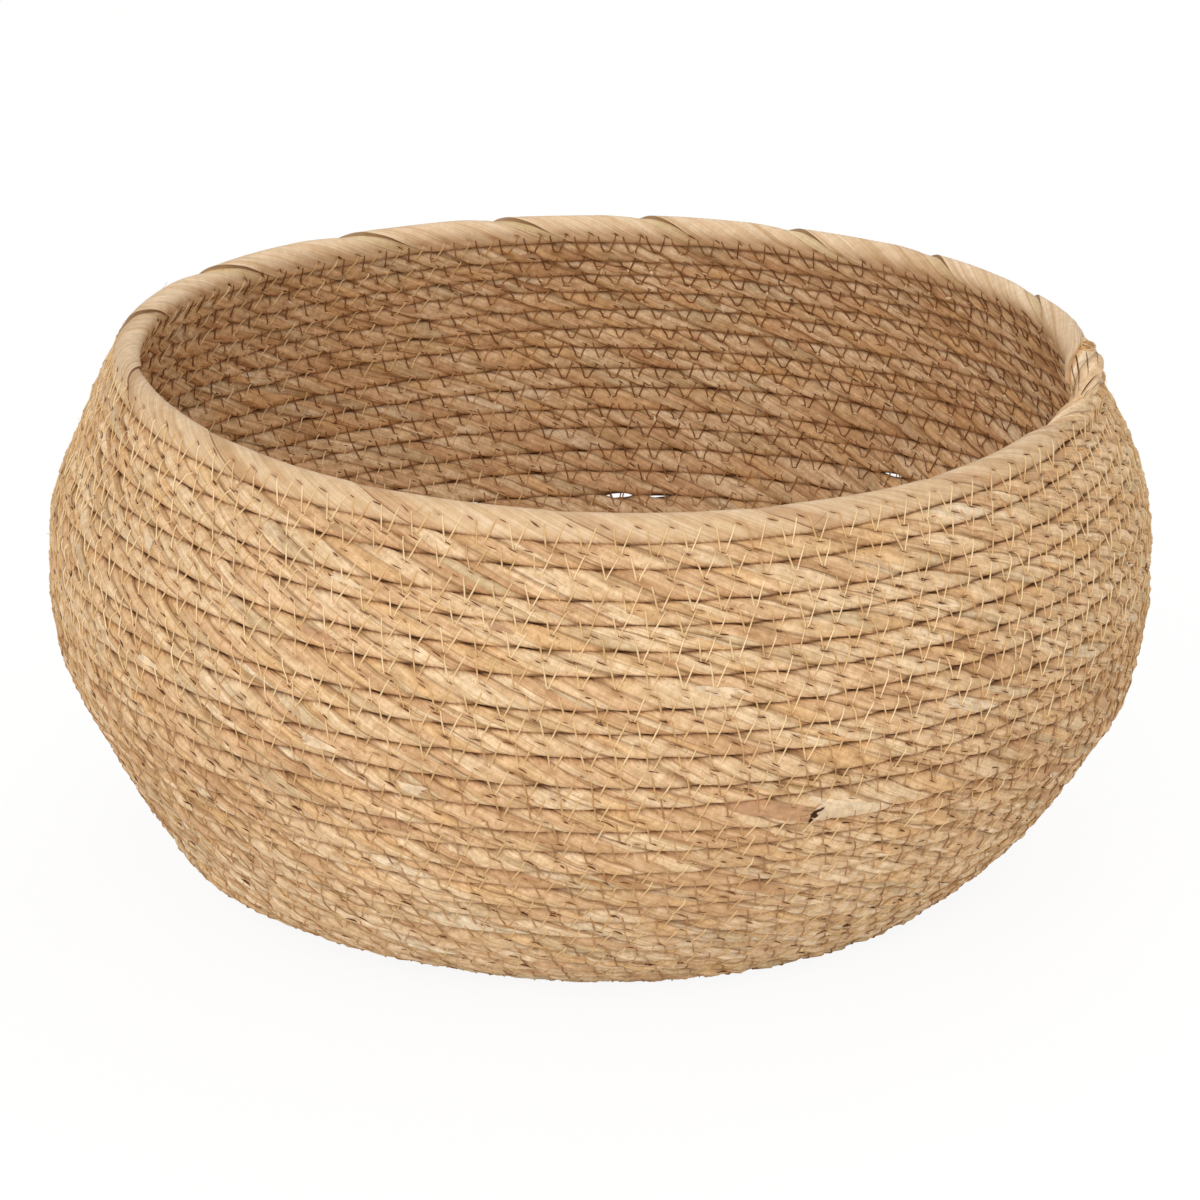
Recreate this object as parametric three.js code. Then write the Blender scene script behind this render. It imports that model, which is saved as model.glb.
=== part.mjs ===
// A round storage basket coiled from one long rope of twisted cattail leaves.
// The rope starts in the middle of the base, winds outwards, turns up into a
// rounded wall and ends on top of it as the rim, which a broad leaf is wound round.
// Millimetres, +Z up, with the origin on the floor under the middle of the basket.
// The view of the photograph looks along +Y, with +X to the right.

import * as THREE from 'three';

// The basket's own sizes. Radii and heights follow the middle of the rope.
const belly_radius = 195.1;
const belly_height = 110;
const rim_radius = 168.3;
const rim_height = 190.7;
const foot_radius = 120;
const rim_lean = THREE.MathUtils.degToRad(27);

// The rope: its thickness from row to row, and the space left between two rows.
const rope_diameter = 8.24;
const row_gap = 0.8;
const row_pitch = rope_diameter + row_gap;
const end_gap = 0.3;
const pressed_depth = rope_diameter / 10;

// The leaf wound round the rim.
const wrap_clearance = 0.35;
const wrap_thickness = 0.6;
const wrap_slit = 1.1;

// Counts and angles of the winding.
const rope_end_angle = THREE.MathUtils.degToRad(8);
const steps_per_turn = 20;
const coarse_steps_per_turn = 10;
const coarse_from_radius = 66;
const upper_wall_turns = 9;
const lower_wall_turns = 10;
const splice_turn = 1 + upper_wall_turns;
const base_turn = splice_turn + lower_wall_turns;
const tail_share = 0.4;

// How far each end of the wall's two curves keeps its direction, as shares of the
// height from belly to rim, from foot to belly, and of the width from foot to belly.
const rim_reach_share = 0.35;
const belly_rise_share = 0.465;
const belly_fall_share = 0.349;
const foot_reach_share = 0.445;

// A regular hexagon has its corners this much further out than its flats.
const corner_ratio = 1 / Math.cos(Math.PI / 6);
const rope_apothem = rope_diameter / 2;
const rope_corner = rope_apothem * corner_ratio;
const floor_to_rope = rope_corner - pressed_depth;

// The outline that the middle of the rope follows, from the rim down to the foot:
// a curve that leans out to the belly, then one that turns in to the flat base.
function wallOutline() {
  const upper_height = rim_height - belly_height;
  const lower_height = belly_height - floor_to_rope;
  const rim = new THREE.Vector2(rim_radius, rim_height);
  const belly = new THREE.Vector2(belly_radius, belly_height);
  const foot = new THREE.Vector2(foot_radius, floor_to_rope);
  const fromRim = new THREE.Vector2(Math.sin(rim_lean), -Math.cos(rim_lean));
  const up = new THREE.Vector2(0, 1);
  const out = new THREE.Vector2(1, 0);
  const upper = new THREE.CubicBezierCurve(
    rim,
    rim.clone().addScaledVector(fromRim, upper_height * rim_reach_share),
    belly.clone().addScaledVector(up, upper_height * belly_rise_share),
    belly,
  );
  const lower = new THREE.CubicBezierCurve(
    belly,
    belly.clone().addScaledVector(up, -lower_height * belly_fall_share),
    foot.clone().addScaledVector(out, (belly_radius - foot_radius) * foot_reach_share),
    foot,
  );
  const path = new THREE.CurvePath();
  [upper, lower].forEach((curve) => {
    curve.arcLengthDivisions = 1000;
    path.add(curve);
  });
  return path;
}

const outline = wallOutline();
const outline_length = outline.getLength();

// The rope's middle after a number of turns down from its end on the rim:
// its radius, its height, and the direction along the outline.
function alongOutline(turn) {
  const distance = turn * row_pitch;
  if (distance >= outline_length) {
    const radius = foot_radius - (distance - outline_length);
    return { radius, height: floor_to_rope, down: new THREE.Vector2(-1, 0) };
  }
  const point = outline.getPoint(distance / outline_length);
  const down = outline.getTangent(distance / outline_length);
  return { radius: point.x, height: point.y, down };
}

// One ring of the rope: section points [outward, along the outline] set in the
// upright plane that holds the basket's axis.
function ringAt(turn, section) {
  const { radius, height, down } = alongOutline(turn);
  const out = new THREE.Vector2(-down.y, down.x);
  const angle = rope_end_angle + turn * 2 * Math.PI;
  return section.map(([outward, along]) => {
    const r = radius + out.x * outward + down.x * along;
    const z = height + out.y * outward + down.y * along;
    return new THREE.Vector3(r * Math.cos(angle), r * Math.sin(angle), z);
  });
}

// A ring a little way along the straight run between two others.
function between(ringA, ringB, share) {
  return ringA.map((point, i) => point.clone().lerp(ringB[i], share));
}

// The last point of a straight run is drawn back, so that two lengths of rope
// meet face to face with half the end gap on each side.
function drawBack(ring, neighbour) {
  const run = ring[0].distanceTo(neighbour[0]);
  return between(ring, neighbour, end_gap / 2 / run);
}

// A closed tube through rings of matching points. The quads of the outer half
// of the section split along one diagonal and those of the inner half along the
// other, so that both sides of a thin band fold on the same line.
function tubeGeometry(rings) {
  const sides = rings[0].length;
  const positions = rings.flat().flatMap((point) => point.toArray());
  const faces = [];
  for (let row = 0; row < rings.length - 1; row += 1) {
    for (let side = 0; side < sides; side += 1) {
      const next = (side + 1) % sides;
      const a = row * sides + side;
      const b = row * sides + next;
      const c = (row + 1) * sides + next;
      const d = (row + 1) * sides + side;
      if (side < sides / 2) {
        faces.push(a, b, d, b, c, d);
      } else {
        faces.push(a, b, c, a, c, d);
      }
    }
  }
  const last = (rings.length - 1) * sides;
  for (let k = 0; k < sides - 2 - k; k += 1) {
    const [a, b, c, d] = [k, k + 1, sides - 2 - k, sides - 1 - k];
    if (b !== c) {
      faces.push(a, c, b);
      faces.push(last + a, last + b, last + c);
    }
    faces.push(a, d, c);
    faces.push(last + a, last + c, last + d);
  }
  const geometry = new THREE.BufferGeometry();
  geometry.setAttribute('position', new THREE.Float32BufferAttribute(positions, 3));
  geometry.setIndex(faces);
  geometry.computeVertexNormals();
  return geometry;
}

// The least gap from a winding to itself: points on its surface against the
// facets of the turns beside it.
function printLeastGap(name, rings, ringsApart) {
  const middles = rings.map((ring) => (
    ring.reduce((sum, point) => sum.add(point), new THREE.Vector3()).divideScalar(ring.length)
  ));
  const reach = Math.max(...rings.map((ring, i) => ring[0].distanceTo(middles[i]))) * 3;
  const triangle = new THREE.Triangle();
  const line = new THREE.Line3();
  const nearest = new THREE.Vector3();
  let least = Infinity;
  const measure = (point, a, b, c) => {
    triangle.set(a, b, c).closestPointToPoint(point, nearest);
    least = Math.min(least, nearest.distanceTo(point));
  };
  rings.slice(0, -1).forEach((ring, i) => {
    const points = ring.concat(between(ring, rings[i + 1], 1 / 2));
    for (let j = 0; j < rings.length - 1; j += 1) {
      if (Math.abs(j - i) <= ringsApart) continue;
      line.set(middles[j], middles[j + 1]);
      points.forEach((point) => {
        line.closestPointToPoint(point, true, nearest);
        if (nearest.distanceTo(point) > reach) return;
        ring.forEach((_, side) => {
          const next = (side + 1) % ring.length;
          measure(point, rings[j][side], rings[j][next], rings[j + 1][side]);
          measure(point, rings[j][next], rings[j + 1][next], rings[j + 1][side]);
        });
      });
    }
  });
  console.log(`${name}: least gap to itself ${least.toFixed(3)} mm`);
}

// A hexagon with flats towards the rows above and below, from its upper outer
// corner outwards and down, as [outward, along the outline].
function hexagon(apothem) {
  const corner = apothem * corner_ratio;
  return [0, 1, 2, 3, 4, 5].map((k) => {
    const angle = (k - 1) * Math.PI / 3;
    return [corner * Math.cos(angle), corner * Math.sin(angle)];
  });
}

// Turns at which the rope has a ring, over one stretch of the winding.
function turnsOf(from, to, stepsAt) {
  const turns = [from];
  while (turns.at(-1) < to - 1e-9) {
    turns.push(Math.min(to, turns.at(-1) + 1 / stepsAt(turns.at(-1))));
  }
  return turns;
}

function mesh(name, rings, colour, roughness) {
  const material = new THREE.MeshStandardMaterial({ color: colour, roughness, metalness: 0 });
  const piece = new THREE.Mesh(tubeGeometry(rings), material);
  piece.name = name;
  return piece;
}

// A length of the wall: the rope wound in rising turns, one row on the other.
// A second length is spliced on at the belly, where the frayed leaf ends show.
function wallCoil(name, from, to) {
  const turns = turnsOf(from, to, () => steps_per_turn);
  const rings = turns.map((turn) => ringAt(turn, hexagon(rope_apothem)));
  rings[0] = drawBack(rings[0], rings[1]);
  const last = rings.pop();
  rings.push(drawBack(last, rings.at(-1)));
  printLeastGap(name, rings, 3);
  return mesh(name, rings, 0xc9a173, 0.85);
}

// The base: the same rope in a flat spiral whose outer turns curve up into the
// wall. It starts half a row from the middle, and the floor presses it flat.
function baseCoil() {
  const start_radius = (rope_diameter + row_gap) / 2;
  const turns_left = (outline_length + foot_radius - start_radius) / row_pitch;
  const to = Math.floor(turns_left * coarse_steps_per_turn) / coarse_steps_per_turn;
  const even = (turn) => Math.abs(turn * coarse_steps_per_turn % 1 - 0.5) > 0.4;
  const stepsAt = (turn) => (
    alongOutline(turn).radius < coarse_from_radius && even(turn)
      ? coarse_steps_per_turn : steps_per_turn
  );
  const eave = rope_corner / 4;
  const pressed = [
    [floor_to_rope, -rope_apothem],
    [floor_to_rope, rope_apothem],
    [-eave, rope_apothem],
    [-rope_corner, 0],
    [-eave, -rope_apothem],
  ];
  const rings = turnsOf(base_turn, to, stepsAt).map((turn) => ringAt(turn, pressed));
  rings.flat().forEach((point) => point.setZ(Math.max(0, point.z)));
  rings[0] = drawBack(rings[0], rings[1]);
  printLeastGap('base_coil', rings, 3);
  return mesh('base_coil', rings, 0xc39b6c, 0.85);
}

// The rim's rope lies one leaf higher than the next row would, and its end
// thins out to a tail that bends down onto the row below.
const rim_lift = wrap_clearance + wrap_thickness;

function rimRing(step, apothem) {
  return ringAt(step / steps_per_turn, hexagon(apothem).map(([outward, along]) => (
    [outward, along - rim_lift]
  )));
}

function rimCoil() {
  const rings = [];
  const tail = hexagon(rope_apothem * tail_share).map(([outward, along]) => (
    [outward, along + rope_apothem * (1 - tail_share)]
  ));
  rings.push(ringAt(0, tail));
  for (let step = 1; step <= steps_per_turn; step += 1) {
    rings.push(rimRing(step, rope_apothem));
  }
  const last = rings.pop();
  rings.push(drawBack(last, rings.at(-1)));
  return mesh('rim_coil', rings, 0xcfae86, 0.85);
}

// The broad leaf on the rim: one band wound round the rope, one turn to each
// straight run, with a narrow slit from turn to turn. Each row of the band lies
// on one corner line of the rope and bends where the rope bends.
function rimWrap() {
  const inner_apothem = rope_apothem + wrap_clearance;
  const outer_apothem = inner_apothem + wrap_thickness;
  const run = 2 * Math.PI * rim_radius / steps_per_turn;
  const onCorner = (apothem, corner, place) => {
    const step = Math.floor(place);
    const [a, b] = [step, step + 1].map((s) => rimRing(s, apothem)[corner]);
    return a.lerp(b, place - step);
  };
  const rings = [];
  const wrap_turns = steps_per_turn - 2;
  for (let row = 0; row < wrap_turns * 6; row += 1) {
    const corner = row % 6;
    const start = 1 + (row + 1 / 2) / 6;
    const bend = 2 + Math.floor(row / 6);
    const end = start + 1 - wrap_slit / run;
    const places = [start, bend, end];
    rings.push([
      ...places.map((place) => onCorner(inner_apothem, corner, place)),
      ...places.reverse().map((place) => onCorner(outer_apothem, corner, place)),
    ]);
  }
  printLeastGap('rim_wrap', rings, 3);
  return mesh('rim_wrap', rings, 0xdcc4a0, 0.75);
}

const basket = new THREE.Group();
basket.name = 'coiled_basket';
basket.add(
  baseCoil(),
  wallCoil('lower_wall_coil', splice_turn, base_turn),
  wallCoil('upper_wall_coil', 1, splice_turn),
  rimCoil(),
  rimWrap(),
);

export default basket;
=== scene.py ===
import math

import bpy
import numpy as np
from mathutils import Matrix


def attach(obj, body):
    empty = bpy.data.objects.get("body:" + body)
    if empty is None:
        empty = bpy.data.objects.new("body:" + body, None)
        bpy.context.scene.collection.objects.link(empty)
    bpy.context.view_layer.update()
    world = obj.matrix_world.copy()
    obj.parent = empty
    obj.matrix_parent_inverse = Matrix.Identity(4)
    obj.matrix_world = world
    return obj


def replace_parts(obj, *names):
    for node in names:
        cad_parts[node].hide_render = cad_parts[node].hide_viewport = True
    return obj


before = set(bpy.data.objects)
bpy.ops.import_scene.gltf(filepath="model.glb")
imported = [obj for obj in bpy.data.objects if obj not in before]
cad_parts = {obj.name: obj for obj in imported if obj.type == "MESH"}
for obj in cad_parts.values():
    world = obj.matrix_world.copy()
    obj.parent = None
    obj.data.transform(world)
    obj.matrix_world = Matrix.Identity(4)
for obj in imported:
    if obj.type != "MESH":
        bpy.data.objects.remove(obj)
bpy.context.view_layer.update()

# The rope's route
# The basket is one long rope of twisted cattail leaves, sewn to itself as it is wound.
# Turns are counted from the rope's end on the rim, down the wall and in to the middle
# of the base, so each row lies one turn under the last. Lengths are metres.
mm = 0.001
belly_radius = 195.1 * mm
belly_height = 110 * mm
rim_radius = 168.3 * mm
rim_height = 190.7 * mm
foot_radius = 120 * mm
rim_lean = math.radians(27)
row_pitch = 9.04 * mm
rope_above_floor = 3.93 * mm
rope_start_radius = 4.2 * mm
rope_end_angle = math.radians(8)
rim_reach_share = 0.35
belly_rise_share = 0.465
belly_fall_share = 0.349
foot_reach_share = 0.445


def bezier(start, start_handle, end_handle, end):
    """A cubic Bezier curve: its four points weighted by the binomial terms of (1 - t) and t."""
    t = np.linspace(0, 1, 600)[:, None]
    return (
        (1 - t) ** 3 * start
        + 3 * (1 - t) ** 2 * t * start_handle
        + 3 * (1 - t) * t ** 2 * end_handle
        + t ** 3 * end
    )


def wall_outline():
    """Radius and height of the rope's middle from the rim to the middle of the base: one curve
    leans out to the belly, one turns in to the foot, and a straight line ends it."""
    rim = np.array([rim_radius, rim_height])
    belly = np.array([belly_radius, belly_height])
    foot = np.array([foot_radius, rope_above_floor])
    upper = rim_height - belly_height
    lower = belly_height - rope_above_floor
    rim_handle = rim + upper * rim_reach_share * np.array([math.sin(rim_lean), -math.cos(rim_lean)])
    belly_rise = belly + np.array([0, upper * belly_rise_share])
    belly_fall = belly - np.array([0, lower * belly_fall_share])
    foot_handle = foot + np.array([(belly_radius - foot_radius) * foot_reach_share, 0])
    wall = bezier(rim, rim_handle, belly_rise, belly)
    turn_in = bezier(belly, belly_fall, foot_handle, foot)
    flat = np.column_stack([np.linspace(foot_radius, 0, 200), np.full(200, rope_above_floor)])
    return np.vstack([wall, turn_in[1:], flat[1:]])


outline = wall_outline()
outline_distance = np.append(0, np.cumsum(np.linalg.norm(np.diff(outline, axis=0), axis=1)))
outline_slope = np.gradient(outline, outline_distance, axis=0)
last_turn = (outline_distance[-1] - rope_start_radius) / row_pitch
curl_turns = 0.44
turn_grid = np.linspace(-0.1, last_turn + 1, 40000)
radius_grid = np.interp(turn_grid * row_pitch, outline_distance, outline[:, 0])
length_grid = np.append(0, np.cumsum(np.diff(turn_grid) * np.pi * (radius_grid[1:] + radius_grid[:-1])))


def route(turn):
    """The rope's middle after a number of turns: radius, height, the direction down the outline
    as (radial, upward), and the rope's own length so far."""
    distance = turn * row_pitch
    radius = np.interp(distance, outline_distance, outline[:, 0])
    height = np.interp(distance, outline_distance, outline[:, 1])
    down_r = np.interp(distance, outline_distance, outline_slope[:, 0])
    down_z = np.interp(distance, outline_distance, outline_slope[:, 1])
    size = np.hypot(down_r, down_z)
    return radius, height, down_r / size, down_z / size, np.interp(turn, turn_grid, length_grid)


def drift(place, step, seed):
    """A smooth random curve between -1 and 1: a seeded height every step, eased from one to the next."""
    heights = np.random.default_rng(seed).uniform(-1, 1, 8192)
    whole = np.floor(place / step)
    share = place / step - whole
    share = share * share * (3 - 2 * share)
    index = whole.astype(int)
    return heights[index % 8192] * (1 - share) + heights[(index + 1) % 8192] * share


def eased(value, low, high):
    """0 below low, 1 above high, and a smooth step between."""
    share = np.clip((value - low) / (high - low), 0, 1)
    return share * share * (3 - 2 * share)


# The rows
# Hand-made rows are never even: the seam between two rows wanders up and down, and a row
# is thick where its seams part. The rows are pressed together, so their sections are
# squarer than a circle and meet in a narrow seam.
rope_half_width = 4.75 * mm
width_gain = 0.3
section_power = 2.5
seam_contact = 0.25 * mm
rim_leaf_thickness = 0.55 * mm
rim_leaf_start = 0.908
rim_leaf_end = -0.016
rim_leaf_fade_turns = 0.02
tail_start = -0.072
thick_row_turn = 5.728
splice_at = 11.786
slow_wander = 1.35 * mm
slow_wander_turns = 1 / 8.6
quick_wander = 0.35 * mm
quick_wander_turns = 1 / 27
end_fade_turns = 0.15
rim_wander_share = 0.3
raised_seams = (
    (thick_row_turn, 0.08, 2.0 * mm),
    (thick_row_turn - 1, 0.08, 1.4 * mm),
    (splice_at - 0.99, 0.03, 1.5 * mm),
    (splice_at + 0.01, 0.03, -1.2 * mm),
)
open_seams = ((13.222, 2.1 * mm), (13.208, 1.5 * mm), (13.275, 1.3 * mm), (11.126, 1.6 * mm))
open_seam_turns = 0.0045
oval_share = 0.0172
floor_oval_share = -0.6
oval_low = 1 * mm
oval_high = 12 * mm
long_oval_share = 0.0023
lumps = (
    (math.radians(215), 19 * mm, 9 * mm, 4.8 * mm),
    (math.radians(350), 72 * mm, 11 * mm, 2.4 * mm),
    (math.radians(190), 58 * mm, 12 * mm, -2.0 * mm),
    (math.radians(180), 90 * mm, 10 * mm, 1.2 * mm),
    (math.radians(180), 134 * mm, 9 * mm, 1.2 * mm),
    (math.radians(180), 160 * mm, 10 * mm, -1.2 * mm),
    (math.radians(0), 150 * mm, 20 * mm, 1.2 * mm),
    (math.radians(0), 115 * mm, 8 * mm, -1.2 * mm),
)
lump_spread = 0.07
mouth_waves = (-4.3 * mm, 3.6 * mm, 2.2 * mm, 0.4 * mm, -1.1 * mm)
still_height = 7.7 * mm
wave_rise = 178.7 * mm
floor_softness = 0.22 * mm
end_bulge = 1.7 * mm
end_bulge_turns = (-0.014, 0.036)
tip_bulge = 5.2 * mm
tip_bulge_turns = (-0.038, -0.014)
tip_fade_turn = -0.05
tail_bed = 3.0 * mm
tail_bed_turn = 0.962
tail_bed_turns = 0.035


def seam_drift(turn):
    """How far the seam below a row lies from its even place, downwards: slow and quick drift, less
    by the raised seams. The rim has little of it, and the rope's two ends have none."""
    slow = slow_wander * drift(turn, slow_wander_turns, 1)
    quick = quick_wander * drift(turn, quick_wander_turns, 2)
    raised = sum(size * np.exp(-(((turn - place) / spread) ** 2)) for place, spread, size in raised_seams)
    fade = eased(turn, 0, end_fade_turns) * (1 - eased(turn, last_turn - 2, last_turn - 1))
    below_rim = rim_wander_share + (1 - rim_wander_share) * eased(turn, 0.6, 1.1)
    return (slow + quick - raised) * fade * below_rim


def seam_opening(turn):
    """How far the seam below a row gapes: a short smooth bump at each place where light comes through."""
    return sum(size * np.exp(-(((turn - place) / open_seam_turns) ** 4)) for place, size in open_seams)


def under_leaf(turn):
    """1 where the rim leaf covers the row, and 0 beyond the leaf's start."""
    return eased(-turn, -rim_leaf_start - rim_leaf_fade_turns, -rim_leaf_start)


def row_shape(turn):
    """Half the row's height between its two seams, its shift from its even place, and half its width."""
    above = seam_drift(turn - 1) + seam_opening(turn - 1) / 2
    below = seam_drift(turn) - seam_opening(turn) / 2
    half = (row_pitch + below - above) / 2
    width = rope_half_width + width_gain * (half - row_pitch / 2)
    return half, (above + below) / 2 - under_leaf(turn) * rim_leaf_thickness, width


def section_reach(angle, width, half):
    """A superellipse: the distance from the row's middle to its surface, by angle from outwards
    towards the row below."""
    flat = np.abs(np.cos(angle) / width) ** section_power
    tall = np.abs(np.sin(angle) / (half + seam_contact)) ** section_power
    return (flat + tall) ** (-1 / section_power)


def settle(radial, height, azimuth):
    """Points in the basket's own place. The wall is a little oval, turned the other way at the
    floor, with soft lumps. Waves round the mouth raise and lower the rows, less and less towards
    the floor, and the floor presses flat what would pass through it."""
    turned = floor_oval_share + (1 - floor_oval_share) * eased(height, oval_low, oval_high)
    oval = 1 + long_oval_share * np.cos(2 * azimuth) + oval_share * np.sin(2 * azimuth) * turned
    for place, middle, spread, size in lumps:
        around = np.exp((np.cos(azimuth - place) - 1) / lump_spread)
        radial = radial + size * around * np.exp(-(((height - middle) / spread) ** 2))
    share = np.clip((height - still_height) / wave_rise, 0, 1.2)
    waves = (
        np.cos(azimuth),
        np.sin(azimuth),
        np.cos(2 * azimuth),
        np.sin(2 * azimuth),
        np.sin(2 * azimuth) ** 2 * eased(np.sin(azimuth), 0, 0.5),
    )
    rise = share * sum(size * wave for size, wave in zip(mouth_waves, waves))
    z = floor_softness * np.logaddexp(0, (height + rise) / floor_softness)
    return np.stack([radial * oval * np.cos(azimuth), radial * oval * np.sin(azimuth), z], axis=-1)


def azimuth_at(turn):
    """The direction round the basket, from +X towards +Y."""
    return rope_end_angle + 2 * np.pi * turn


def around_row(turn, angle, reach, taper=1.0, drop=0.0):
    """A point at an angle and a distance from the row's middle, in the upright plane through the
    basket's axis. taper thins the row and drop moves it down the outline. The rope's loose end
    bulges outwards, and so does the row below it."""
    radius, height, down_r, down_z, _ = route(turn)
    _, shift, _ = row_shape(turn)
    bulge = end_bulge * (1 - eased(turn, *end_bulge_turns)) + tip_bulge * (1 - eased(turn, *tip_bulge_turns))
    bulge = bulge * (1 - 0.5 * eased(-turn, -tip_fade_turn, -tail_start))
    bed = tail_bed * np.exp(-(((turn - tail_bed_turn) / tail_bed_turns) ** 2))
    outward = reach * np.cos(angle) * taper + bulge * (0.72 + 0.28 * np.cos(angle)) + bed
    along = reach * np.sin(angle) * taper + shift + drop
    radial = radius - down_z * outward + down_r * along
    return settle(radial, height + down_r * outward + down_z * along, azimuth_at(turn))


# The twist
# Three strands of flat leaves are twisted to the rope, about 62 mm to a full turn. Each
# strand shows as a slanting lens between two creases. The strands are unequal, and the
# twist is tighter in some places than in others.
strands = 3
lay = 62 * mm
strand_height = 0.78 * mm
strand_height_drift = 0.32 * mm
strand_lean = 0.13 * mm
fold_height = 0.1 * mm
slow_twist_step = 190 * mm
quick_twist_step = 50 * mm
strand_width_step = 110 * mm
strand_side_step = 310 * mm
strand_height_step = 45 * mm
fold_step = 35 * mm
strand_offset = 7.7


def twist(turn):
    """How often the strands have gone round the rope: its length over its lay, with drift."""
    length = route(turn)[4]
    slow = 0.3 * drift(length, slow_twist_step, 11)
    return length / lay + slow + 0.06 * drift(length, quick_twist_step, 12)


def unequal(turn, place):
    """A sine wave round the rope, which widens one strand and narrows another."""
    length = route(turn)[4]
    size = 0.15 + 0.1 * drift(length, strand_width_step, 13)
    return size * np.sin(2 * np.pi * place / strands + 5 * drift(length, strand_side_step, 14))


def strand_place(turn, angle):
    """Place across the strands at an angle: whole numbers are creases."""
    place = strands * (angle / (2 * np.pi) - twist(turn))
    return (place + unequal(turn, place)) % strands


def strand_angle(turn, place):
    """The angle at which a place across the strands lies: strand_place turned round by repeated
    substitution."""
    even = place
    for _ in range(8):
        even = place - unequal(turn, even)
    return 2 * np.pi * (even / strands + twist(turn))


def strand_relief(turn, place):
    """A strand swells as a sine arch between its creases, leans to one side, and has low folds."""
    across = place % 1
    own = route(turn)[4] + strand_offset * (np.floor(place) % strands)
    arch = np.sin(np.pi * across)
    swell = (strand_height + strand_height_drift * drift(own, strand_height_step, 21)) * (arch ** 0.65 - 0.66)
    lean = strand_lean * np.sin(2 * np.pi * across)
    folds = np.sin(2 * np.pi * (2.2 * across + drift(own, fold_step, 22)))
    return swell + lean + fold_height * arch * folds


# The stitching's places
# The rows are sewn together with one thread in a zigzag, about 10 mm to a stitch. The
# needle goes through both rows beside their seam, and draws the leaf in where it does.
stitch_pitch = 10.3 * mm
stitch_drift_step = 170 * mm
hole_dip = 0.85 * mm
upper_hole = 4.5 * mm
lower_hole = 3.4 * mm
upper_dip = upper_hole + 0.5 * mm
dip_length = 2.7 * mm
dip_width = 1.9 * mm
fold_length = 3.1 * mm
fold_width = 0.85 * mm
fold_slope = 0.42
fold_share = 0.6
dip_share = 0.7
upper_hole_ahead = 0.62
squeezed_share = 0.2
inner_relief_gain = 0.2
tip_start = -0.045
curl_start_turns = 0.2
end_taper = 0.25
tip_taper = 0.5
curl_taper = 0.4
end_drop = 0.4 * row_pitch
tip_drop = 0.5 * row_pitch


def stitch_count(turn):
    """Stitches along the seam below a row: its length over the stitch's pitch, with drift."""
    length = route(turn + 0.5)[4]
    return length / stitch_pitch + 0.6 * drift(length, stitch_drift_step, 31)


def hole_depth(turn, angle):
    """How far the needle drew the leaf in, from 0 to about 1, at each hole near the seam below and
    near the seam above: a round dip, and a longer fold along the leaf's fibres."""
    half, _, width = row_shape(turn)
    along = section_reach(angle, width, half) * np.sin(angle)
    side = np.cos(angle)
    slope = fold_slope * np.sign(side)
    depth = 0
    for count, middle, sewn in (
        (stitch_count(turn) - upper_hole_ahead, half - upper_dip, 1),
        (stitch_count(turn - 1), lower_hole - half, turn > 1),
    ):
        run = (count - np.round(count)) * stitch_pitch
        rise = along - middle
        across = (rise - slope * run) / fold_width
        ahead = (run + slope * rise) / fold_length
        fold = fold_share * np.exp(-(ahead ** 2) - across ** 2)
        dip = dip_share * np.exp(-((run / dip_length) ** 2) - (rise / dip_width) ** 2)
        depth = depth + sewn * (fold + dip)
    return depth * eased(np.abs(side), 0.2, 0.6)


def rope_surface(turn, angle, place=None, lift=0.0):
    """A point on the twisted rope: the row's section, its strands' relief and its needle holes.
    The strands stand out more inside, where nothing rubs them flat. The rope is thinner
    under the rim leaf, its end tapers down onto the row below, and its start curls up small."""
    half, _, width = row_shape(turn)
    if place is None:
        place = strand_place(turn, angle)
    wrapped = under_leaf(turn) * (1 - eased(-turn, -rim_leaf_end - 0.01, -rim_leaf_end))
    reach = section_reach(angle, width, half) * (1 - squeezed_share * wrapped)
    rounder = 1 + inner_relief_gain * eased(-np.cos(angle), -0.1, 0.5)
    reach = reach + rounder * strand_relief(turn, place) - hole_dip * hole_depth(turn, angle) + lift
    ended = 1 - eased(turn, tail_start, rim_leaf_end + 0.01)
    tip = eased(-turn, -tip_start, -tail_start)
    curled = eased(turn, last_turn - curl_start_turns, last_turn + curl_turns)
    taper = 1 - end_taper * ended - tip_taper * tip - curl_taper * curled
    return around_row(turn, angle, reach, taper, end_drop * ended + tip_drop * tip)


# The rope's mesh
# Every row is its own piece. Its grid runs along the creases, so that a strand's edge
# stays sharp, and its columns stand closer near the creases.
ring_step = 1.6 * mm
base_ring_step = 2.5 * mm
columns_per_strand = 11
column_share = np.arange(columns_per_strand) / columns_per_strand
crowding = 0.045 * np.sin(4 * np.pi * column_share) - 0.01 * np.sin(2 * np.pi * column_share)
column_share = column_share + crowding
sharp_edge_angle = math.radians(70)
bare_top_turns = (0.94, 0.97)
band_margin_share = 0.06
bands_top_share = 0.98
caps_low_share = 0.985
caps_high_share = 0.998


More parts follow.
